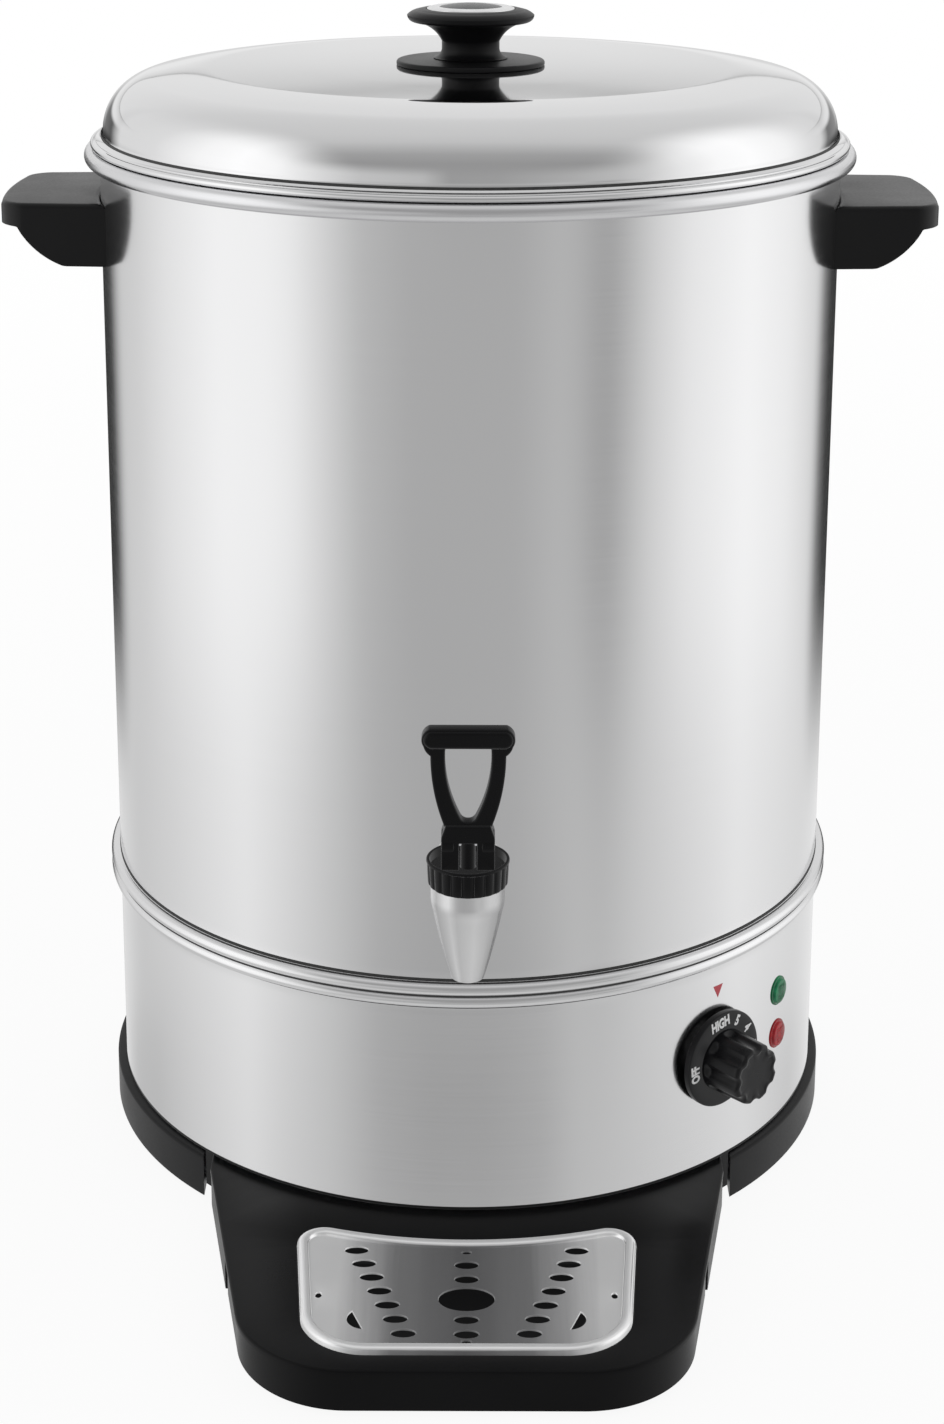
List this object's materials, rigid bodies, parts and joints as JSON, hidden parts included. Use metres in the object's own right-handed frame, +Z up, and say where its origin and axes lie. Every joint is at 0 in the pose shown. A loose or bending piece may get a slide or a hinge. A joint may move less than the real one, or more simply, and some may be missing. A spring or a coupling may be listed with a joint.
{
  "type": "hot water urn",
  "caption": "Round steel hot water urn on a black base, with a lift-off domed lid, lever tap, thermostat dial, pilot lamps, side handles and a slide-out drip tray with a grate.",
  "frame": {"origin": "on the tank's axis, at the surface that the four feet stand on", "axes": "+Z up along the tank's axis; the tap and drip tray face -Y; +X is to the right as the user sees the front"},
  "size_m": [0.462, 0.501, 0.5665],
  "materials": {
    "jacket_steel": "satin stainless sheet",
    "tank_steel": "satin stainless sheet",
    "plain_steel": "plain zinc-coated sheet",
    "polished_steel": "mirror-polished stainless sheet",
    "grate_steel": "satin stainless sheet",
    "bright_plating": "bright plating",
    "screw_steel": "zinc-plated",
    "black_plastic": "black, semi-gloss, fine grain",
    "dial_plastic": "black, satin, with light marks",
    "tap_plastic": "black, satin",
    "dark_gloss": "dark, glossy",
    "green_lens": "translucent green",
    "red_lens": "translucent red",
    "foot_rubber": "matt",
    "silicone": "pale, soft sheen",
    "heater_aluminium": "as cast",
    "element_sheath": "dull, heat-tinted",
    "white_ceramic": "matt ceramic",
    "cream_plastic": "matt",
    "copper_line": "bare copper",
    "nut_brass": "plain brass",
    "lead_insulation": "heat-proof insulation, red-brown"
  },
  "bodies": {
    "vessel": {"base_ring": "black_plastic", "base_screws": "screw_steel", "cable_gland": "black_plastic", "floor_plate": "plain_steel", "gland_nut": "black_plastic", "green_lamp_holder": "black_plastic", "green_lens": "green_lens", "handle_bracket_left": "plain_steel", "handle_bracket_right": "plain_steel", "handle_left": "black_plastic", "handle_right": "black_plastic", "handle_screws": "screw_steel", "heater_nuts": "screw_steel", "heater_plate": "heater_aluminium", "heater_studs": "screw_steel", "heating_element": "element_sheath", "inner_flange": "plain_steel", "inner_tank": "tank_steel", "lower_shell": "jacket_steel", "outer_shell": "jacket_steel", "red_lamp_holder": "black_plastic", "red_lens": "red_lens", "rubber_feet": "foot_rubber", "tap_body": "bright_plating", "tap_bonnet": "tap_plastic", "tap_cover": "tap_plastic", "tap_inner_gasket": "silicone", "tap_nut": "nut_brass", "tap_outer_gasket": "silicone", "tap_spring": "screw_steel", "terminal_block": "cream_plastic", "thermal_cutout": "white_ceramic", "thermostat_body": "plain_steel", "thermostat_bulb": "copper_line", "thermostat_screws": "screw_steel", "wiring": "lead_insulation"},
    "lid": {"lid_shell": "polished_steel", "lid_skirt": "polished_steel", "knob_base": "black_plastic", "lid_knob": "black_plastic", "knob_ring": "bright_plating", "knob_cap": "dark_gloss", "knob_screw": "screw_steel", "knob_washer": "screw_steel"},
    "dial": {"control_knob": "dial_plastic", "dial_shaft": "screw_steel"},
    "valve": {"tap_stem": "tap_plastic", "tap_seat_cup": "silicone"},
    "lever": {"tap_lever": "tap_plastic", "lever_pin": "screw_steel"},
    "tray": {"drip_tray": "black_plastic"},
    "grate": {"drip_grate": "grate_steel"}
  },
  "joints": [
    {"name": "lid_lift", "type": "slide", "parent": "vessel", "child": "lid", "axis": [0, 0, 1], "range_m": [0, 0.15]},
    {"name": "dial_turn", "type": "hinge", "parent": "vessel", "child": "dial", "pos_m": [0.11904, -0.13502, 0.08], "axis": [0.6613, -0.7501, 0], "range_deg": [0, 255]},
    {"name": "valve_lift", "type": "slide", "parent": "vessel", "child": "valve", "axis": [0, 0, 1], "range_m": [0, 0.0035], "deforming": ["tap_spring"]},
    {"name": "lever_tilt", "type": "hinge", "parent": "valve", "child": "lever", "pos_m": [0, -0.242, 0.236], "axis": [1, 0, 0], "range_deg": [0, 40], "stiffness_Nm_per_rad": 0.25, "springref_deg": -17.19},
    {"name": "tray_slide", "type": "slide", "parent": "vessel", "child": "tray", "axis": [0, -1, 0], "range_m": [0, 0.11]},
    {"name": "grate_lift", "type": "slide", "parent": "tray", "child": "grate", "axis": [0, 0, 1], "range_m": [0, 0.06]}
  ],
  "couplings": [
    {"joint": "valve_lift", "follows": "lever_tilt", "m_per_rad": 0.005}
  ]
}
